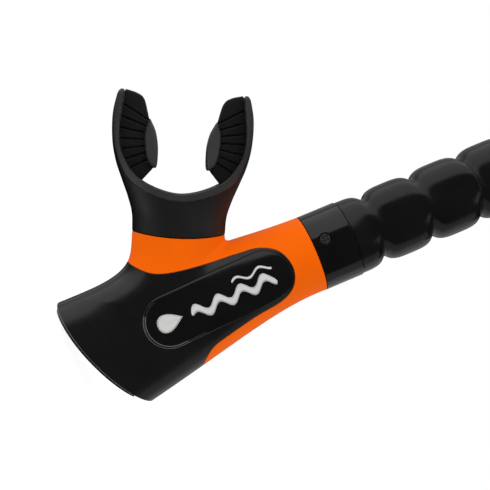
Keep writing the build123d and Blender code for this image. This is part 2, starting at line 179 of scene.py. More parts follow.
# how far from the middle plane the rim ends and starts; its width, and how far it stands out
RIM_DEEP, RIM_START = 14.5, 8.0
RIM_WIDE, RIM_OVER = 3.1, 0.5
BITE_EDGE = (
    # one bite tab's outline, from the flange's tip round its mouth side, as (u, w)
    (-24.8, 94.2),
    (-19.8, 92.8),
    (-16.8, 90.2),
    (-14.5, 82.2),
    (-11.8, 75.0),
    (-11.3, 68.0),
    (-11.9, 62.4),
    (-14.4, 58.9),
    (-17.2, 55.6),
)
# the rest of the outline, round the tab's root
BITE_BACK = ((-27.6, 64.0), (-28.0, 75.0), (-26.4, 92.0))
BITE_DEEP, BITE_ROUND = 3.0, 0.9
LIP = (
    # the lip's outline behind one bite tab, as (u, w)
    (-14.2, 82.4),
    (-11.6, 77.0),
    (-10.4, 70.0),
    (-10.9, 62.0),
    (-14.0, 63.6),
    (-15.7, 69.5),
    (-16.0, 76.5),
)
LIP_DEEP, LIP_ROUND = 6.4, 2.0
FAN_MIDDLE = 73.4  # w of the point the bite grooves fan out from
FAN_STEP = math.radians(9.8)
GROOVES = 7
GROOVE_HALF, GROOVE_DEEP = 0.34, 1.0
FLANGE_STEP, BITE_STEP = 0.62, 0.31  # the size of their skins' triangles
# the boxes that hold them: (u, y, w) for the flange, u and then (y, w) for one bite tab
FLANGE_LOW, FLANGE_HIGH = (-32.2, -16, PORT_END - PORT_SAG - 1.5), (32.2, 16, 95.8)
BITE_NEAR, BITE_FAR = 9.5, 28.5
BITE_LOW, BITE_HIGH = (-7.2, 54.5), (7.2, 96)

# Lock buttons in the hose's collar
BUTTON_Z, BUTTON_TURN = 70.6, 21.0
BUTTON_R, BUTTON_TOP, BUTTON_ROUND = 2.3, 17.0, 0.2
BUTTON_RIM, BUTTON_ARM, BUTTON_DISH = 1.8, 0.24, 0.5  # inside the rim, half the cross's arm, dish's depth
RIM_SLOPE, ARM_SLOPE = 0.15, 0.12
BUTTON_DROPS = (BUTTON_ROUND, 1.2, 2.2, 3.05)  # the rings down the button's side
BUTTON_RINGS, BUTTON_SIDES = 26, 72
SPIGOT_FOOT, SPIGOT_TOP = BODY_TOP - 6, 76.2
WINDOW_TURN, WINDOW_HALF = math.radians(13.6), 3.2  # the windows in the spigot behind the buttons

# Hose
HOSE_START, HOSE_END = 82.2, 200.7
NECK_R, CREST_R = 11.0, 16.8
HOSE_POWER = 4  # the bulges' squareness
BLUR, BLUR_REACH = 0.9, 2.4  # how much, and how far, the bulges' shape is softened along the hose
NECK_OPEN = 5.0  # the necks are this much shallower at the front and the back
CREST_DENT, DENT_RUN = 2.0, 9.0  # the bulges' dent there, and the length it takes to start at a collar
PINCH_TURN = math.radians(-13)  # the pinch and the dents are turned this far round the hose
FOLD_SHARP = 3.0  # how much faster the folds deepen on the side away from the mouthpiece
PITCH = 23.5
FIRST_NECK = HOSE_START + 12.3
HOSE_WALL = 1.6
CUFF_R, CUFF_LONG = 15.1, 5.6
BEAD_R, BEAD_LONG = 16.0, 1.4
END_ROUND = 0.7
HOSE_MIDDLE = (HOSE_START + HOSE_END) / 2
HOSE_LEVELS = 150

barrel_low, barrel_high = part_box("barrel")
ORIGIN = np.array(
    (
        (barrel_low.x + barrel_high.x) / 2,
        (barrel_low.y + barrel_high.y) / 2,
        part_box("hose_collar")[0].z - BODY_TOP * MM,
    )
)


def place(points):
    """Tube-frame millimetres to row-frame metres."""
    return np.asarray(points, float) * MM + ORIGIN


# Fields: each is about the distance in mm from a surface, negative inside it


def through(table, column):
    """The smooth curve through one column of a table, against its first column."""
    curve = np.polynomial.Polynomial.fit(table[:, 0], table[:, column], len(table) - 1)
    low, high = table[:, 0].min(), table[:, 0].max()
    return lambda at: curve(np.clip(at, low - 2, high + 2))


def oval(x, y, half_x, half_y, power=2.0):
    """A superellipse."""
    ax, ay = np.abs(x) / half_x, np.abs(y) / half_y
    r = np.maximum((ax**power + ay**power) ** (1 / power), 1e-3)
    slant = np.hypot((ax / r) ** (power - 1) / half_x, (ay / r) ** (power - 1) / half_y)
    return (r - 1) / slant


def ease(t):
    """A smooth step from 0 to 1."""
    t = np.clip(t, 0, 1)
    return t * t * (3 - 2 * t)


def join(a, b, soft):
    """The two shapes as one, with a fillet of about this size where they meet."""
    h = np.maximum(soft - np.abs(a - b), 0) / soft
    return np.minimum(a, b) - h * h * soft / 4


def meet(a, b, soft):
    """Where both shapes are, with a rounded edge."""
    return -join(-a, -b, soft)


def spline(points, count=16):
    """A smooth curve through the points, sampled."""
    p = np.array(points, float)
    p = np.vstack((2 * p[0] - p[1], p, 2 * p[-1] - p[-2]))
    t = np.linspace(0, 1, count, endpoint=False)[:, None]
    runs = []
    for a, b, c, d in zip(p[:-3], p[1:-2], p[2:-1], p[3:]):
        bend = (2 * a - 5 * b + 4 * c - d) * t**2 + (3 * b - a - 3 * c + d) * t**3
        runs.append(b + ((c - a) * t + bend) / 2)
    return np.vstack((*runs, p[-2:-1]))


def outline(points, x, y):
    """A closed outline in a plane, through its points in order."""
    a = np.asarray(points, float)
    b = np.roll(a, -1, 0)
    nearest = np.full(x.shape, 1e9)
    inside = np.zeros(x.shape, bool)
    for (ax, ay), (bx, by) in zip(a, b):
        dx, dy = bx - ax, by - ay
        t = np.clip(((x - ax) * dx + (y - ay) * dy) / max(dx * dx + dy * dy, 1e-9), 0, 1)
        nearest = np.minimum(nearest, (x - ax - t * dx) ** 2 + (y - ay - t * dy) ** 2)
        if ay != by:
            crosses = (ay > y) != (by > y)
            inside ^= crosses & (x < ax + (y - ay) * dx / dy)
    return np.where(inside, -1, 1) * np.sqrt(nearest)


def slot(x, y, low, high, radius):
    """A round-ended slot in a plane."""
    run = high - low
    t = np.clip(((x - low[0]) * run[0] + (y - low[1]) * run[1]) / (run @ run), 0, 1)
    return np.hypot(x - low[0] - t * run[0], y - low[1] - t * run[1]) - radius


FLARE_LOW, FLARE_HIGH, FLARE_DEPTH, FLARE_POWER = (through(FLARE, k) for k in (1, 2, 3, 4))
PORT_MIDDLE, PORT_WIDE, PORT_DEEP = (through(PORT, k) for k in (1, 2, 3))
TONGUE_LOOP = np.vstack((spline(TONGUE), ((42, -90), (-34, -90))))
FLANK_CURVE = spline(FLANK, 160)
OPENING_LOOP = spline((*OPENING, *((-u, w) for u, w in OPENING[-2::-1])))
BITE_LOOP = np.vstack((spline(BITE_EDGE), BITE_BACK))
LIP_LOOP = spline((*LIP, LIP[0]))


def flare(p):
    """The outside of the flared tube."""
    x, y, z = p.T
    low, high = FLARE_LOW(z), FLARE_HIGH(z)
    return oval(x - (low + high) / 2, y, (high - low) / 2, FLARE_DEPTH(z), FLARE_POWER(z))


def body(p):
    """The whole lower body, with the mouthpiece port blended into it."""
    u, w = p @ ACROSS, p @ ALONG
    at = np.clip(w, STUB_LOW, STUB_HIGH)
    stub = oval(u - PORT_MIDDLE(at), p[:, 1], PORT_WIDE(at), PORT_DEEP(at))
    stub = np.maximum(stub, STUB_START - w)
    return join(flare(p), stub, FILLET + FILLET_MORE * ease((FILLET_TOP - u) / FILLET_RUN))


def above_top(p):
    """Past the body's upper end."""
    return p[:, 2] - BODY_TOP + COLLAR_GAP


def port_edge(y):
    """How far along the mouthpiece's axis the port ends, which is less at its broad sides."""
    return PORT_END - PORT_SAG * np.minimum((y / PORT[0, 3]) ** 2, SAG_LIMIT)


def beyond_port(p):
    """Past the end of the mouthpiece port."""
    return np.minimum(p @ ALONG - port_edge(p[:, 1]), PORT_ACROSS - p @ ACROSS)


def beyond_end(p):
    """Past the purge end, which is part of a large cylinder."""
    centre = END_MIDDLE - END_DIR * END_R
    return np.hypot(p[:, 0] - centre[0], p[:, 2] - centre[2]) - (END_R - RIM_BACK)


def tongue(p):
    """The black housing with its tongues, seen from the side."""
    return outline(TONGUE_LOOP, p[:, 0], p[:, 2])


def badge(p):
    """The badges' outline, seen from the side."""
    return slot(p[:, 0], p[:, 2], BADGE_LOW, BADGE_HIGH, BADGE_R)


def badge_rise(p):
    """How far the badge stands out: all of it at the purge end, running out to nothing up the tongue."""
    way = (p[:, 2] - BADGE_FADE_LOW) / (BADGE_FADE_HIGH - BADGE_FADE_LOW)
    return BADGE_PROUD * (1 - BADGE_FADE * ease(way))


def mouth_place(p):
    """A point's place in one half of the mouthpiece: across, deep and along."""
    return -np.abs(p @ ACROSS), np.abs(p[:, 1]), p @ ALONG


def opening(p):
    """The space between the flange's two sides."""
    u, _, w = mouth_place(p)
    return outline(OPENING_LOOP, u, w)


def flank(p):
    """The mouthpiece's outside, from its oval neck to the wide, boxy flange."""
    u, y, w = mouth_place(p)
    wide, deep, power = (np.interp(w, FLANK_CURVE[:, 0], FLANK_CURVE[:, k]) for k in (1, 2, 3))
    return oval(u, y, wide, deep, power)


def rim(p, inner, outer):
    """The raised rim along the flange's edge."""
    _, y, w = mouth_place(p)
    band = meet(meet(inner - RIM_WIDE, -inner, 1.4), y - RIM_DEEP, FLANGE_ROUND)
    return meet(np.maximum.reduce((band, outer - RIM_OVER, RIM_START - y)), w - TIP, TIP_ROUND)


def mouth(p):
    """The soft mouthpiece without its bite tabs."""
    u, y, w = mouth_place(p)
    inner, outer = opening(p), flank(p)
    shape = meet(meet(outer, -inner, FLANGE_ROUND), w - TIP, TIP_ROUND)
    shape = join(shape, rim(p, inner, outer), 0.3)
    shape = meet(shape, -oval(u, y, *AIRWAY), 0.8)
    return meet(shape, port_edge(y) + MOUTH_GAP - w, 0.3)


def lip(p):
    """The lip behind a bite tab."""
    u, y, w = mouth_place(p)
    return meet(outline(LIP_LOOP, u, w), y - LIP_DEEP, LIP_ROUND)


def bite(p):
    """A bite tab with its fan of grooves, and the lip that holds it behind the teeth."""
    u, y, w = mouth_place(p)
    tab = meet(outline(BITE_LOOP, u, w), y - BITE_DEEP, BITE_ROUND)
    angle = np.arctan2(w - FAN_MIDDLE, -u)
    nearest = np.clip(np.round(angle / FAN_STEP), -(GROOVES // 2), GROOVES // 2) * FAN_STEP
    across = np.abs(np.hypot(u, w - FAN_MIDDLE) * np.sin(angle - nearest))
    channel = np.maximum(across - GROOVE_HALF, BITE_DEEP - GROOVE_DEEP - y)
    return join(meet(tab, -channel, 0.25), lip(p), 0.4)


# Mesh tools


def gradient(field, p, h=0.02):
    """Which way the field rises, and how fast."""
    return np.stack([(field(p + s) - field(p - s)) / (2 * h) for s in np.eye(3) * h], 1)


def unit(v):
    """The vectors, scaled to length 1."""
    return v / np.maximum(np.linalg.norm(v, axis=1), 1e-9)[:, None]


def settle(field, p, rounds=3, reach=0.8):
    """Moves points straight onto the field's surface."""
    for _ in range(rounds):
        g = gradient(field, p)
        step = field(p) / np.maximum((g * g).sum(1), 0.05)
        p = p - g * np.clip(step, -reach, reach)[:, None]
    return p


def skin(field, low, high, step):
    """Surface nets: an even triangle mesh of the field's surface inside a box."""
    axes = [np.arange(a, b + step, step) for a, b in zip(low, high)]
    grid = np.stack(np.meshgrid(*axes, indexing="ij"), -1)
    value = field(grid.reshape(-1, 3)).reshape(grid.shape[:3])
    cells = tuple(n - 1 for n in value.shape)
    total, count = np.zeros((*cells, 3)), np.zeros(cells)
    quads = []
    for axis in range(3):
        across, up = (axis + 1) % 3, (axis + 2) % 3
        n = value.shape[axis]
        a, b = value.take(range(n - 1), axis), value.take(range(1, n), axis)
        crosses = (a < 0) != (b < 0)
        share = np.where(crosses, a / np.where(crosses, a - b, 1), 0)
        point = grid.take(range(n - 1), axis).copy()
        point[..., axis] += share * step
        for i in (0, 1):
            for j in (0, 1):
                window = [slice(None)] * 3
                window[across] = slice(i, i + cells[across])
                window[up] = slice(j, j + cells[up])
                hit = crosses[tuple(window)]
                total += np.where(hit[..., None], point[tuple(window)], 0)
                count += hit
        quads.append((axis, across, up, np.argwhere(crosses), (a < 0)[crosses]))
    number = np.full(cells, -1)
    number[count > 0] = np.arange((count > 0).sum())
    points = total[count > 0] / count[count > 0][:, None]
    faces = []
    for axis, across, up, where, rising in quads:
        inner = np.all([(where[:, k] > 0) & (where[:, k] < cells[k]) for k in (across, up)], 0)
        where, rising = where[inner], rising[inner]
        ring = []
        for i, j in ((-1, -1), (0, -1), (0, 0), (-1, 0)):
            cell = where.copy()
            cell[:, across] += i
            cell[:, up] += j
            ring.append(number[tuple(cell.T)])
        ring = np.stack(ring, 1)
        faces.append(np.where(rising[:, None], ring, ring[:, ::-1]))
    quad = np.vstack(faces)
    short = np.linalg.norm(points[quad[:, 0]] - points[quad[:, 2]], axis=1)
    long = np.linalg.norm(points[quad[:, 1]] - points[quad[:, 3]], axis=1)
    quad = np.where((short <= long)[:, None], quad, np.roll(quad, 1, 1))
    return settle(field, points), np.vstack((quad[:, (0, 1, 2)], quad[:, (0, 2, 3)]))


def edges_of(tris):
    """Every directed edge of the triangles."""
    return np.vstack((tris[:, (0, 1)], tris[:, (1, 2)], tris[:, (2, 0)]))


def rim_edges(tris):
    """The directed edges that only one triangle has."""
    e = edges_of(tris)
    size = tris.max() + 1
    return e[~np.isin(e[:, 0] * size + e[:, 1], e[:, 1] * size + e[:, 0])]


def relax(field, p, tris, fixed, rounds):
    """Evens out the triangles, sliding their corners along the surface."""
    e = edges_of(tris)
    degree = np.maximum(np.bincount(e[:, 0], minlength=len(p)), 1)
    free = np.ones(len(p), bool)
    free[fixed] = False
    for _ in range(rounds):
        mean = np.stack([np.bincount(e[:, 0], p[e[:, 1], k], len(p)) / degree for k in range(3)], 1)
        move = mean - p
        normal = unit(gradient(field, p))
        move -= normal * (move * normal).sum(1)[:, None]
        move[~free] = 0
        p = settle(field, p + 0.6 * move, 1)
    return p


def onto_line(field, line, p):
    """Moves points to where the surface meets the line's field."""
    for _ in range(4):
        normal, way = unit(gradient(field, p)), gradient(line, p)
        way -= normal * (way * normal).sum(1)[:, None]
        step = line(p) / np.maximum((way * way).sum(1), 0.05)
        p = settle(field, p - way * np.clip(step, -0.6, 0.6)[:, None], 1)
    return p


def cut(field, line, p, tris, near):
    """Splits the triangles along a second field, so that its line is made of mesh edges."""
    value = line(p)
    close = np.abs(value) < near
    if close.any():
        p = p.copy()
        p[close] = onto_line(field, line, p[close])
        value[close] = 0
    sign = np.sign(value)
    crossed = (sign[tris].min(1) < 0) & (sign[tris].max(1) > 0)
    pairs = {}
    for tri in tris[crossed]:
        for i, j in zip(tri, np.roll(tri, -1)):
            if sign[i] * sign[j] < 0:
                pairs.setdefault((min(i, j), max(i, j)), len(pairs))
    if not pairs:
        return p, tris
    ends = np.array(list(pairs))
    a, b = value[ends[:, 0]], value[ends[:, 1]]
    made = p[ends[:, 0]] + (p[ends[:, 1]] - p[ends[:, 0]]) * (a / (a - b))[:, None]
    side = np.concatenate((sign, np.zeros(len(made))))
    added = []
    for tri in tris[crossed]:
        ring = []
        for i, j in zip(tri, np.roll(tri, -1)):
            ring.append(i)
            if sign[i] * sign[j] < 0:
                ring.append(len(p) + pairs[(min(i, j), max(i, j))])
        for way in (1, -1):
            poly = [v for v in ring if side[v] * way >= 0]
            added += [(poly[0], poly[k], poly[k + 1]) for k in range(1, len(poly) - 1)]
    p = np.vstack((p, onto_line(field, line, made)))
    return p, np.vstack((tris[~crossed], added))


def part_of(p, tris, *tests):
    """The triangles whose middles are inside every one of the fields, with only their own points."""
    middle = p[tris].mean(1)
    keep = np.all([test(middle) < 0 for test in tests], 0)
    used, tris = np.unique(tris[keep], return_inverse=True)
    return p[used], tris.reshape(-1, 3)


def corner_normals(p, tris):
    """Smooth normals worked out from the triangles."""
    face = np.cross(p[tris[:, 1]] - p[tris[:, 0]], p[tris[:, 2]] - p[tris[:, 0]])
    total = [np.bincount(tris.ravel(), np.repeat(face[:, k], 3), len(p)) for k in range(3)]
    return unit(np.stack(total, 1))


def thicken(p, tris, normal, wall, gap=0.07, edge=0.2, steps=3):
    """A plate of this wall thickness under the surface, its rim drawn back by gap and rounded."""
    rim = rim_edges(tris)
    on_rim = np.unique(rim)
    way = np.zeros_like(p)
    for k in (0, 1):
        run = p[rim[:, 1]] - p[rim[:, 0]]
        np.add.at(way, rim[:, k], np.cross(unit(run), normal[rim[:, k]]))
    way = unit(way)
    outer, out_normal = p.copy(), normal.copy()
    outer[on_rim] = p[on_rim] - way[on_rim] * (gap + edge)
    points, normals, rings = [outer], [out_normal], [np.arange(len(p))]
    total = len(p)
    slot_of = np.full(len(p), -1)
    slot_of[on_rim] = np.arange(len(on_rim))
    for k in range(1, steps + 2):
        turn = min(k, steps) / steps * math.pi / 2
        drop = edge * (1 - math.cos(turn)) if k <= steps else wall
        out = edge * math.sin(turn) - gap - edge
        points.append(p[on_rim] + way[on_rim] * out - normal[on_rim] * drop)
        normals.append(way[on_rim] * math.sin(turn) + normal[on_rim] * math.cos(turn))
        index = np.full(len(p), -1)
        index[on_rim] = total + np.arange(len(on_rim))
        rings.append(index)
        total += len(on_rim)
    inside = np.setdiff1d(np.arange(len(p)), on_rim)
    points.append(p[inside] - normal[inside] * wall)
    normals.append(-normal[inside])
    under = rings[-1].copy()
    under[inside] = total + np.arange(len(inside))
    faces = [tris, under[tris][:, ::-1]]
    for upper, lower in zip(rings, rings[1:]):
        a, b = rim.T
        faces += [np.stack((upper[b], upper[a], lower[a]), 1), np.stack((upper[b], lower[a], lower[b]), 1)]
    return np.vstack(points), np.vstack(faces), np.vstack(normals)


def make(name, points, faces, material, normals=None):
    """A mesh object from tube-frame millimetres."""
    mesh = bpy.data.meshes.new(name)
    mesh.from_pydata(place(points).tolist(), [], [list(map(int, f)) for f in faces])
    mesh.validate()
    mesh.polygons.foreach_set("use_smooth", np.ones(len(mesh.polygons), bool))
    if normals is not None and len(mesh.vertices) == len(normals):
        mesh.normals_split_custom_set_from_vertices(unit(normals).tolist())
    mesh.materials.append(material)
    thing = bpy.data.objects.new(name, mesh)
    bpy.context.scene.collection.objects.link(thing)
    return thing


def recolour(piece, materials, look):
    """Gives faces further materials: look is 0 for the first one, then 1, 2 for those in materials."""
    for material in materials:
        piece.data.materials.append(material)
    piece.data.polygons.foreach_set("material_index", look.astype(np.int32))


def turned(profile, sides=96):
    """A closed (radius, z) profile turned about the tube's axis, as points and quads."""
    angle = np.linspace(0, math.tau, sides, endpoint=False)
    r, z = np.array([profile(a) for a in angle], float).transpose(2, 0, 1)
    x, y = np.cos(angle)[:, None] * r, np.sin(angle)[:, None] * r
    points = np.stack((x, y, z), -1).reshape(-1, 3)
    n = r.shape[1]
    i, j = np.meshgrid(np.arange(sides), np.arange(n), indexing="ij")
    a, b = (i + 1) % sides, (j + 1) % n
    quads = np.stack((i * n + j, i * n + b, a * n + b, a * n + j), -1).reshape(-1, 4)
    return points, quads[:, ::-1]


# Materials


def shade(name, colour, rough, tone=0.12, grain=900, bump=0.02, wear_and_sheen=0.15, round_edge=0.25, **more):
    """A moulded plastic, rubber or metal: mottled colour and gloss, fine grain, and paler edges, which are
    wear and, where the setting is strong, a painted highlight.
    """
    material = bpy.data.materials.new(name)
    material.use_nodes = True
    nodes, links = material.node_tree.nodes, material.node_tree.links
    shader = nodes["Principled BSDF"]

    def node(kind, **values):
        made = nodes.new("ShaderNode" + kind)
        for key, value in values.items():
            if key in made.inputs:
                made.inputs[key].default_value = value
            else:
                setattr(made, key, value)
        return made

    where = node("TexCoord").outputs["Object"]

    def noise(scale, detail=3.0):
        made = node("TexNoise", Scale=scale, Detail=detail)
        links.new(where, made.inputs["Vector"])
        return made.outputs["Fac"]

    def ranged(value, low, high, to_low, to_high):
        made = node("MapRange")
        for key, number in zip(("From Min", "From Max", "To Min", "To Max"), (low, high, to_low, to_high)):
            made.inputs[key].default_value = number
        links.new(value, made.inputs["Value"])
        return made.outputs["Result"]

    def mixed(share, first, second):
        made = node("Mix", data_type="RGBA")
        links.new(share, made.inputs["Factor"])
        for key, value in (("A", first), ("B", second)):
            socket = next(s for s in made.inputs if s.name == key and s.type == "RGBA")
            if isinstance(value, tuple):
                socket.default_value = (*value, 1)
            else:
                links.new(value, socket)
        return next(s for s in made.outputs if s.type == "RGBA")

    # a slightly mottled colour
    dark = tuple(c * (1 - tone) for c in colour)
    light = tuple(min(1, c * (1 + tone)) for c in colour)
    paint = mixed(ranged(noise(70), 0.3, 0.7, 0, 1), dark, light)

    # paler edges, in patches: wear, and a painted highlight where the setting is strong, as on the buttons
    corner = node("Bevel", Radius=round_edge * MM, samples=4)
    flat = node("NewGeometry").outputs["Normal"]
    facing = node("VectorMath", operation="DOT_PRODUCT")
    links.new(corner.outputs["Normal"], facing.inputs[0])
    links.new(flat, facing.inputs[1])
    wear_and_sheen_share = ranged(facing.outputs["Value"], 0.995, 0.88, 0, wear_and_sheen)
    patchy = node("Math", operation="MULTIPLY")
    links.new(wear_and_sheen_share, patchy.inputs[0])
    links.new(ranged(noise(420), 0.42, 0.62, 0, 1), patchy.inputs[1])
    pale = tuple(min(1, c * 1.25 + 0.06) for c in colour)
    paint = mixed(patchy.outputs["Value"], paint, pale)
    links.new(paint, shader.inputs["Base Color"])

    # uneven gloss and a fine grain
    gloss = ranged(noise(160, 5.0), 0.3, 0.7, max(0.02, rough - 0.05), min(1, rough + 0.06))
    links.new(gloss, shader.inputs["Roughness"])
    surface = node("Bump", Strength=1.0, Distance=bump * MM)
    links.new(noise(grain, 4.0), surface.inputs["Height"])
    links.new(corner.outputs["Normal"], surface.inputs["Normal"])
    links.new(surface.outputs["Normal"], shader.inputs["Normal"])
    for key, value in more.items():
        shader.inputs[key.replace("_", " ")].default_value = value
    return material


ORANGE = shade(
    "orange_plastic",
    (0.75, 0.108, 0.0012),
    0.45,
    tone=0.02,
    wear_and_sheen=0.2,
    bump=0.006,
    Specular_IOR_Level=0.02,
)
BLACK = shade("black_plastic", (0.0070, 0.0070, 0.0074), 0.27, bump=0.010, wear_and_sheen=0.10)
BADGE_BLACK = shade("badge_plastic", (0.005, 0.005, 0.005), 0.18, bump=0.006, wear_and_sheen=0.1)
GLOSS = shade("gloss_plastic", (0.0045, 0.0045, 0.0045), 0.13, bump=0.003, wear_and_sheen=0.10)
SILICONE = shade("black_silicone", (0.009, 0.009, 0.009), 0.50, grain=2200, bump=0.020, wear_and_sheen=0.05)
# a paler silicone on the mouthpiece's raised rim: a painted highlight
RIM_HIGHLIGHT_SILICONE = shade("rim_painted_highlight_silicone", (0.026, 0.026, 0.026), 0.46, grain=2200, bump=0.020, wear_and_sheen=0.05)
HOSE_RUBBER = shade(
    "hose_rubber",
    (0.0052, 0.0052, 0.0052),
    0.21,
    grain=700,
    bump=0.012,
    wear_and_sheen=0.04,
    Specular_IOR_Level=0.4,
)
# a paler black whose strongly lightened edges are painted highlights on the buttons' rim and cross; it is
# also the faint end of the badge's painted highlight lines
BUTTON_SHEEN_BLACK = shade("button_plastic_painted_highlight", (0.022, 0.022, 0.022), 0.25, bump=0.004, wear_and_sheen=0.9, round_edge=0.12)
# a pale grey painted highlight for the thin line along the purge end's rim
END_HIGHLIGHT_GREY = shade("painted_highlight_edge", (0.15, 0.15, 0.15), 0.35, tone=0.4, grain=700, bump=0.010, wear_and_sheen=0.0)
# a grey painted highlight for the badge's bevel lines on its lit side
BADGE_HIGHLIGHT_GREY = shade("painted_highlight_badge_edge", (0.10, 0.10, 0.10), 0.45)
# a paler silicone on the lips behind the bite tabs: a painted highlight
LIP_HIGHLIGHT_SILICONE = shade("lip_painted_highlight_silicone", (0.036, 0.036, 0.036), 0.46, grain=2200, bump=0.020, wear_and_sheen=0.05)
INK = shade("white_ink", (0.54, 0.54, 0.53), 0.45, tone=0.03, bump=0.004, wear_and_sheen=0.0)
BARREL_BLACK = shade("barrel_plastic", (0.007, 0.007, 0.0075), 0.26, bump=0.008)
SOFT_BLACK = shade("soft_rubber", (0.010, 0.010, 0.010), 0.55, grain=2600, bump=0.020, wear_and_sheen=0.04)
INNER_BLACK = shade("inner_plastic", (0.012, 0.012, 0.012), 0.45, bump=0.010)
CLEAR = shade("clear_silicone", (0.55, 0.56, 0.56), 0.35, tone=0.04, wear_and_sheen=0.0, Transmission_Weight=0.6)
SEAL = shade("seal_rubber", (0.018, 0.018, 0.020), 0.6, grain=3000, wear_and_sheen=0.0)
STEEL = shade("steel", (0.56, 0.57, 0.58), 0.28, tone=0.06, wear_and_sheen=0.05, Metallic=1.0)
WHITE = shade("float_plastic", (0.72, 0.73, 0.72), 0.38, tone=0.03)

FINISHES = {
    "hose_collar": GLOSS,
    "purge_cover": BLACK,
    "valve_seat": INNER_BLACK,
    "purge_valve": CLEAR,
    "spigot_seal": SEAL,
    "button_spring": STEEL,
    "lower_hose_insert": INNER_BLACK,
    "upper_hose_insert": INNER_BLACK,
    "upper_collar": GLOSS,
    "barrel": BARREL_BLACK,
    "trim_ring": ORANGE,
    "keeper_sleeve": SOFT_BLACK,
    "keeper_ring": BARREL_BLACK,
    "keeper_gate": ORANGE,
    "keeper_pin": STEEL,
    "drytop_body": BARREL_BLACK,
    "float_retainer": INNER_BLACK,
    "float": WHITE,
    "float_seal": SEAL,
    "cap_gasket": SEAL,
    "drytop_cap": ORANGE,
}


def finish_cad_nodes():
    """Puts a material on every node that keeps its CAD mesh."""
    for name, material in FINISHES.items():
        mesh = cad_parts[name].data
        mesh.materials.clear()
        mesh.materials.append(material)


# Pieces


def build_body():
    """The coloured shell, the black housing and the two raised badges, all cut from one smooth skin."""
    p, tris = skin(body, BODY_LOW, BODY_HIGH, BODY_STEP)
    p = relax(body, p, tris, np.unique(rim_edges(tris)), 4)
    lines = [above_top, beyond_port, beyond_end, tongue]
    lines += [lambda q, d=d: badge(q) + d for d in BADGE_LINES]
    for line in lines:
        p, tris = cut(body, line, p, tris, NEAR_LINE)
    keep = (above_top, beyond_port, beyond_end)

    def not_tongue(q):
        return -tongue(q)

    def not_badge(q):
        return -badge(q)

    pieces = []
    for name, tests, material, replaced in (
        ("shell_skin", (*keep, not_tongue), ORANGE, "body_shell"),
        ("housing_skin", (*keep, tongue, not_badge), BLACK, "purge_housing"),
    ):
        q, faces = part_of(p, tris, *tests)
        q = relax(body, q, faces, np.unique(rim_edges(faces)), 2)
        q, faces, normals = thicken(q, faces, unit(gradient(body, q)), SHELL_T)
        skin_faces = len(faces)
        if replaced == "body_shell":
            q, faces, normals = with_spigots(q, faces, normals)
        piece = make(name, q, faces, material, normals)
        look = np.where(np.arange(len(faces)) >= skin_faces, 1, 0)
        middle = q[faces].mean(1)
        # faces along the purge end's rim get the painted highlight
        look[(beyond_end(middle) > -END_HIGHLIGHT_WIDE) & (body(middle) > -SKIN_DEEP)] = 2
        recolour(piece, (INNER_BLACK, END_HIGHLIGHT_GREY), look)
        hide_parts(replaced)
        pieces.append((piece, replaced, "lower_body"))
    for name, side, replaced in (("badge_front", 1, "front_badge"), ("badge_back", -1, "back_badge")):
        q, faces = part_of(p, tris, badge, lambda r, side=side: side * r[:, 1])
        normal = unit(gradient(body, q))
        raise_by = badge_rise(q) * ease(-badge(q) / BADGE_BEVEL) + BADGE_LIFT
        q = q + normal * raise_by[:, None]
        normal = corner_normals(q, faces)
        q, faces, _ = thicken(q, faces, normal, BADGE_T, gap=0.05, edge=0.08, steps=2)
        piece = make(name, q, faces, BADGE_BLACK)
        middle = q[faces].mean(1)
        # painted highlight lines along the badge's bevel, bright on the side the light comes from and
        # faint further round
        depth = -badge(middle)
        on_highlight = np.any([(depth > low) & (depth < high) for low, high in BADGE_HIGHLIGHT_LINES], 0)
        on_highlight &= body(middle) > -HIGHLIGHT_DEEP
        towards_light = (middle[:, ::2] - BADGE_LOW) @ HIGHLIGHT_WAY / BADGE_R
        look = np.where(towards_light > HIGHLIGHT_BRIGHT, 1, np.where(towards_light > HIGHLIGHT_FAINT, 2, 0)) * on_highlight
        recolour(piece, (BADGE_HIGHLIGHT_GREY, BUTTON_SHEEN_BLACK), look)
        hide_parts(replaced)
        pieces.append((piece, replaced, "lower_body"))
    return pieces


def spigot(outer, inner, heights, axes, solid):
    """A tube wall of (half width, half depth) outside and inside, with only those cells that are solid."""
    count, levels = solid.shape[0], len(heights)
    angle = np.linspace(0, math.tau, count, endpoint=False)
    points = []
    for a, b in (outer, inner):
        ring = np.outer(a * np.cos(angle), axes[0]) + np.outer(b * np.sin(angle), (0, 1, 0))
        points.append((ring[:, None, :] + np.outer(heights, axes[1])[None]).reshape(-1, 3))

    def corner(wall, i, j):
        return (wall * count + i % count) * levels + j

    faces = []
    around = ((0, 0), (1, 0), (1, 1), (0, 1))
    for i, j in np.argwhere(solid):
        out, into = ([corner(wall, i + di, j + dj) for di, dj in around] for wall in (0, 1))
        quads = [out, into[::-1]]
        for k, (di, dj) in enumerate(((0, -1), (1, 0), (0, 1), (-1, 0))):
            if not 0 <= j + dj < levels - 1 or not solid[(i + di) % count, j + dj]:
                far = (k + 1) % 4
                quads.append((out[far], out[k], into[k], into[far]))
        for a, b, c, d in quads:
            faces += [(a, b, c), (a, c, d)]
    faces = np.array(faces)
    return np.vstack(points), faces if np.cross(axes[0], (0, 1, 0)) @ axes[1] > 0 else faces[:, ::-1]


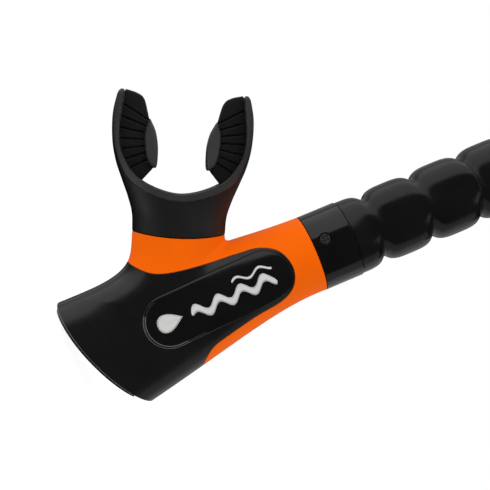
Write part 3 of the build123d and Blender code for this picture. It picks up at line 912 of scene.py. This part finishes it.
def with_spigots(q, faces, normals):
    """Adds the shell's round spigot for the collar, with a window for each button, and its oval one."""
    middles = (np.arange(SPIGOT_CELLS) + 0.5) * math.tau / SPIGOT_CELLS
    turn = np.abs((middles + math.pi) % math.tau - math.pi)
    by_button = np.abs(turn - math.radians(90 + BUTTON_TURN))
    round_one = np.ones((SPIGOT_CELLS, 3), bool)
    round_one[by_button < WINDOW_TURN, 1] = False
    rise = np.array((SPIGOT_FOOT, BUTTON_Z - WINDOW_HALF, BUTTON_Z + WINDOW_HALF, SPIGOT_TOP))
    reach = np.array((PORT_END - SPIGOT_ROOT, PORT_END + SPIGOT_LONG))
    upright = (np.array((1, 0, 0)), np.array((0, 0, 1)))
    for outer, inner, heights, axes, solid in (
        ((CUFF_R, CUFF_R), (BORE_R, BORE_R), rise, upright, round_one),
        (SPIGOT, SPIGOT_BORE, reach, (ACROSS, ALONG), np.ones((SPIGOT_CELLS, 1), bool)),
    ):
        points, more = spigot(outer, inner, heights, axes, solid)
        faces = np.vstack((faces, more + len(q)))
        normals = np.vstack((normals, corner_normals(points, more)))
        q = np.vstack((q, points))
    return q, faces, normals


def ribbon(start, end, offset, half, wave, count=90):
    """A wavy stripe along the badge as (along, across) points, in rows of equal length."""
    s = np.linspace(start, end, count)
    tip = np.minimum(np.minimum(s - start, end - s) / half, 1)
    middle = offset + wave * np.sin((s - start) * math.tau / WAVE_LONG)
    taper = np.sqrt(1 - (1 - tip) ** 2)
    return [np.stack((s, middle + half * t * taper), 1) for t in np.linspace(-1, 1, 5)]


def drop(at, size, count=49):
    """A plain water drop, pointing along the badge, as (along, across) points in rings."""
    t = np.linspace(0, math.tau, count)
    edge = np.stack((at + size * np.cos(t), size * 0.95 * np.sin(t) * np.sin(t / 2) ** 1.2), 1)
    return [np.array((at - size * 0.25, 0)) * (1 - k) + edge * k for k in np.linspace(0.02, 1, 6)]


def build_mark():
    """A plain printed drop and waves on each badge, where the real one is printed."""
    pieces = []
    run = BADGE_HIGH - BADGE_LOW
    long = run / np.linalg.norm(run)
    side_way = np.array((-long[1], long[0]))
    shapes = [drop(*DROP), *(ribbon(*wave) for wave in WAVES)]
    for name, side in (("mark_front", -1), ("mark_back", 1)):
        points, faces = [], []
        for rows in shapes:
            first, count = sum(len(q) for q in points), len(rows[0])
            i, j = np.meshgrid(np.arange(len(rows) - 1), np.arange(count - 1), indexing="ij")
            a = (first + i * count + j).ravel()
            faces += np.stack((a, a + 1, a + count + 1, a + count), 1).tolist()
            if np.allclose(rows[0][0], rows[0][-1]):
                faces.append(list(range(first + count - 2, first - 1, -1)))
            for row in rows:
                spot = BADGE_LOW + np.outer(row[:, 0], long) + np.outer(row[:, 1], side_way)
                points.append(np.stack((spot[:, 0], np.full(count, side * START_DEEP), spot[:, 1]), 1))
        p = np.vstack(points)
        for _ in range(8):
            p[:, 1] -= body(p) / gradient(body, p)[:, 1]
        p += unit(gradient(body, p)) * (badge_rise(p) + BADGE_LIFT + INK_T)[:, None]
        middle = faces[len(faces) // 2]
        way = np.cross(p[middle[1]] - p[middle[0]], p[middle[3]] - p[middle[0]])
        piece = make(name, p, faces if way[1] * side > 0 else [f[::-1] for f in faces], INK)
        thick = piece.modifiers.new("ink", "SOLIDIFY")
        thick.thickness, thick.offset = INK_T * MM, -1
        pieces.append((piece, "front_badge" if side < 0 else "back_badge", "lower_body"))
    return pieces


def build_buttons():
    """The two lock buttons: round, with a raised rim and a raised cross in their dished tops."""
    pieces = []
    flat = BUTTON_R - BUTTON_ROUND
    sides = np.full(len(BUTTON_DROPS), BUTTON_R)
    radii = np.concatenate((np.linspace(0.05, flat, BUTTON_RINGS), sides))
    drops = np.concatenate((np.zeros(BUTTON_RINGS), BUTTON_DROPS))
    turns = np.linspace(0, math.tau, BUTTON_SIDES, endpoint=False)
    r, t = np.meshgrid(radii, turns, indexing="ij")
    a, b = r * np.cos(t), r * np.sin(t)
    arm = np.minimum(np.abs(a), np.abs(b))
    dish = ease((BUTTON_RIM - r) / RIM_SLOPE) * ease((arm - BUTTON_ARM) / ARM_SLOPE) * BUTTON_DISH
    height = BUTTON_TOP - drops[:, None] - np.where(r < flat, dish, 0)
    rows, count = r.shape
    i, j = np.meshgrid(np.arange(rows - 1), np.arange(count), indexing="ij")
    nxt = (j + 1) % count
    quads = np.stack((i * count + j, (i + 1) * count + j, (i + 1) * count + nxt, i * count + nxt), -1)
    faces = quads.reshape(-1, 4).tolist()
    faces += [list(range(count))[::-1], list(range((rows - 1) * count, rows * count))]
    for name, side, replaced in (("button_front", -1, "front_button"), ("button_back", 1, "back_button")):
        angle = side * math.radians(90 + BUTTON_TURN)
        out = np.array((math.cos(angle), math.sin(angle), 0))
        across = np.array((-math.sin(angle), math.cos(angle), 0))
        level = (b[..., None] + BUTTON_Z) * np.array((0, 0, 1))
        grid = height[..., None] * out + a[..., None] * across + level
        # the buttons carry painted highlights on their edges
        piece = make(name, grid.reshape(-1, 3), [f[::-1] for f in faces], BUTTON_SHEEN_BLACK)
        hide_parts(replaced)
        pieces.append((piece, replaced, replaced))
    return pieces


def mouth_skin(name, field, low, high, step, raised, highlight_material):
    """A smooth skin worked out in the mouthpiece's own axes, its raised parts in a paler silicone as a
    painted highlight.
    """

    def local(q):
        return field(q @ MOUTH_FRAME)

    p, tris = skin(local, low, high, step)
    p = relax(local, p, tris, [], 3) @ MOUTH_FRAME
    piece = make(name, p, tris, SILICONE, unit(gradient(field, p)))
    recolour(piece, (highlight_material,), raised(p[tris].mean(1)) < 0.1)
    return piece


def build_mouthpiece():
    """The soft mouthpiece and its two grooved bite tabs."""
    flange = mouth_skin(
        "mouthpiece_skin",
        mouth,
        FLANGE_LOW,
        FLANGE_HIGH,
        FLANGE_STEP,
        lambda q: rim(q, opening(q), flank(q)),
        RIM_HIGHLIGHT_SILICONE,
    )
    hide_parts("mouthpiece")
    pieces = [(flange, "mouthpiece", "lower_body")]
    sides = (("bite_tab_low", -BITE_FAR, -BITE_NEAR), ("bite_tab_high", BITE_NEAR, BITE_FAR))
    for name, low, high in sides:
        box = (low, *BITE_LOW), (high, *BITE_HIGH)
        tab = mouth_skin(name, bite, *box, BITE_STEP, lip, LIP_HIGHLIGHT_SILICONE)
        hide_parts("mouthpiece")
        pieces.append((tab, "mouthpiece", "lower_body"))
    return pieces


def hose_radius(z, angle):
    """The hose's outside: rounded bulges, dented front and back, and necks pinched in at the sides."""
    turn = angle - PINCH_TURN
    facing = math.sin(turn) ** 2
    neck = NECK_R + NECK_OPEN * facing ** (FOLD_SHARP if math.cos(turn) > 0 else 1)

    def sharp(h):
        s = np.mod((h - FIRST_NECK) / PITCH, 1)
        run = np.clip(np.minimum(h - HOSE_START, HOSE_END - h) / DENT_RUN, 0, 1)
        dent = CREST_DENT * facing**4 * run
        return neck + (CREST_R - dent - neck) * np.sqrt(1 - np.abs(2 * s - 1) ** HOSE_POWER)

    spread = np.linspace(-BLUR_REACH, BLUR_REACH, 49)
    weight = np.exp(-(spread**2) / (2 * BLUR**2))
    return sum(v * sharp(z + d) for d, v in zip(spread, weight)) / weight.sum()


def build_hose():
    """The corrugated hose in two halves."""
    for name, low, high, a, b in (
        ("hose_lower", HOSE_START, HOSE_MIDDLE, "lower_body", "hose_middle"),
        ("hose_upper", HOSE_MIDDLE, HOSE_END, "hose_middle", "upper_tube"),
    ):
        z = np.linspace(low, high, HOSE_LEVELS)

        def profile(angle, z=z, low=low, high=high):
            r = hose_radius(z, angle)
            edge = np.minimum(np.minimum(z - HOSE_START, HOSE_END - z) / END_ROUND, 1)
            r = np.minimum(r, CREST_R - END_ROUND + END_ROUND * np.sqrt(1 - (1 - edge) ** 2))
            within = np.minimum(r, CUFF_R) - HOSE_WALL
            outer, inner = np.stack((r, z), 1), np.stack((within, z), 1)
            if low == HOSE_START:
                cuff = low - CUFF_LONG
                foot = ((CUFF_R - HOSE_WALL, cuff), (BEAD_R, cuff), (BEAD_R, cuff + BEAD_LONG))
                foot += ((CUFF_R, cuff + BEAD_LONG), (CUFF_R, low))
                return np.vstack((foot, outer, inner[::-1]))
            cuff = high + CUFF_LONG
            head = ((CUFF_R, high), (CUFF_R, cuff - BEAD_LONG), (BEAD_R, cuff - BEAD_LONG))
            head += ((BEAD_R, cuff), (CUFF_R - HOSE_WALL, cuff))
            return np.vstack((outer, head, inner[::-1]))

        piece = make(name, *turned(profile), HOSE_RUBBER)
        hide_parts("flex_hose")
        start, end = place(((0, 0, low), (0, 0, high)))
        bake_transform(piece)


def build_pieces():
    """Every visible piece: the CAD nodes with their materials, and the finer meshes."""
    finish_cad_nodes()
    for piece, node, rides_on in (*build_body(), *build_mark(), *build_mouthpiece(), *build_buttons()):
        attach(piece, rides_on)
    build_hose()


# Studio: the camera looks along +Y, rolled so that the tube lies to the right

VIEW_CENTRE = np.array((-14.9, 0, 39.15))
VIEW_FROM = np.array((-38.8, -340, -22.7))
VIEW_DISTANCE = 342.0
VIEW_ROLL = math.radians(22.6)
LENS, SENSOR = 57.3, 36.0
AIM = (0, 0, 60)  # the lights face this point
PANELS = (
    # name, direction in the picture as (right, up, towards the camera), distance, size, radiance
    ("key", (0.0, 1.0, 0.15), 0.6, (1.8, 1.0), 0.9),
    ("key_back", (0.0, 0.6, -0.8), 0.8, (1.8, 0.6), 0.35),
    ("rim", (0.2, -0.8, -0.9), 0.8, (1.2, 0.7), 0.5),
    ("under", (0.3, -1.0, -0.1), 0.7, (1.2, 0.45), 0.3),
    ("left", (-1.0, -0.35, 0.55), 0.8, (0.5, 0.6), 0.95),
    ("low_left", (-0.7, -0.7, 0.3), 0.8, (0.35, 0.35), 1.2),
    ("right", (1.0, 0.1, 0.5), 0.9, (0.5, 0.6), 0.5),
)
FLOOR_HALF, FLOOR_GREY, FLOOR_GLOW = 4.0, 0.12, 0.94


def view_axes():
    """The picture's right, up and forward directions."""
    forward = -VIEW_FROM / np.linalg.norm(VIEW_FROM)
    level = np.array((0, 0, 1.0)) - forward * forward[2]
    level /= np.linalg.norm(level)
    side = np.cross(-forward, level)
    c, s = math.cos(VIEW_ROLL), math.sin(VIEW_ROLL)
    return c * level - s * side, s * level + c * side, forward


RIGHT, UP, FORWARD = view_axes()


def add_camera():
    """The main view."""
    data = bpy.data.cameras.new("camera")
    data.lens, data.sensor_width = LENS, SENSOR
    data.clip_start, data.clip_end = 0.01, 20
    camera = bpy.data.objects.new("camera", data)
    bpy.context.scene.collection.objects.link(camera)
    turn = Matrix((RIGHT, UP, -FORWARD)).transposed().to_4x4()
    eye = place(VIEW_CENTRE - FORWARD * VIEW_DISTANCE)
    camera.matrix_world = Matrix.Translation(Vector(eye)) @ turn
    bpy.context.scene.camera = camera


def add_panel(name, towards, distance, size, radiance):
    """A soft rectangular light, facing the object from the given direction in the picture."""
    way = towards[0] * RIGHT + towards[1] * UP - towards[2] * FORWARD
    way /= np.linalg.norm(way)
    data = bpy.data.lights.new(name, "AREA")
    data.shape, data.size, data.size_y = "RECTANGLE", size[0], size[1]
    data.energy = radiance * math.pi * size[0] * size[1]
    light = bpy.data.objects.new(name, data)
    bpy.context.scene.collection.objects.link(light)
    z = Vector(way)
    x = Vector(RIGHT) - z * Vector(RIGHT).dot(z)
    x = x.normalized() if x.length > 0.1 else Vector(UP).cross(z).normalized()
    y = z.cross(x)
    turn = Matrix((x, y, z)).transposed().to_4x4()
    target = place(AIM)
    light.matrix_world = Matrix.Translation(Vector(target) + z * distance) @ turn
    light.visible_camera = False


def add_studio():
    """White surroundings, the soft panels and a plain pale floor."""
    world = bpy.data.worlds.new("studio")
    world.use_nodes = True
    background = world.node_tree.nodes["Background"]
    background.inputs["Color"].default_value = (1, 1, 1, 1)
    background.inputs["Strength"].default_value = 1.0
    world.cycles_visibility.glossy = False
    bpy.context.scene.world = world
    bpy.context.scene.view_settings.view_transform = "Standard"
    for panel in PANELS:
        add_panel(*panel)

    mesh = bpy.data.meshes.new("floor")
    quarters = ((-1, -1), (1, -1), (1, 1), (-1, 1))
    corners = [(x * FLOOR_HALF, y * FLOOR_HALF, cad_box[0].z) for x, y in quarters]
    mesh.from_pydata(corners, [], [(0, 1, 2, 3)])
    floor = bpy.data.objects.new("floor", mesh)
    bpy.context.scene.collection.objects.link(floor)
    paint = bpy.data.materials.new("floor")
    paint.use_nodes = True
    shader = paint.node_tree.nodes["Principled BSDF"]
    shader.inputs["Base Color"].default_value = (FLOOR_GREY, FLOOR_GREY, FLOOR_GREY, 1)
    shader.inputs["Roughness"].default_value = 0.9
    shader.inputs["Emission Color"].default_value = (1, 1, 1, 1)
    shader.inputs["Emission Strength"].default_value = FLOOR_GLOW
    mesh.materials.append(paint)
    floor.visible_glossy = False
    floor.visible_diffuse = False


build_pieces()
add_camera()
add_studio()
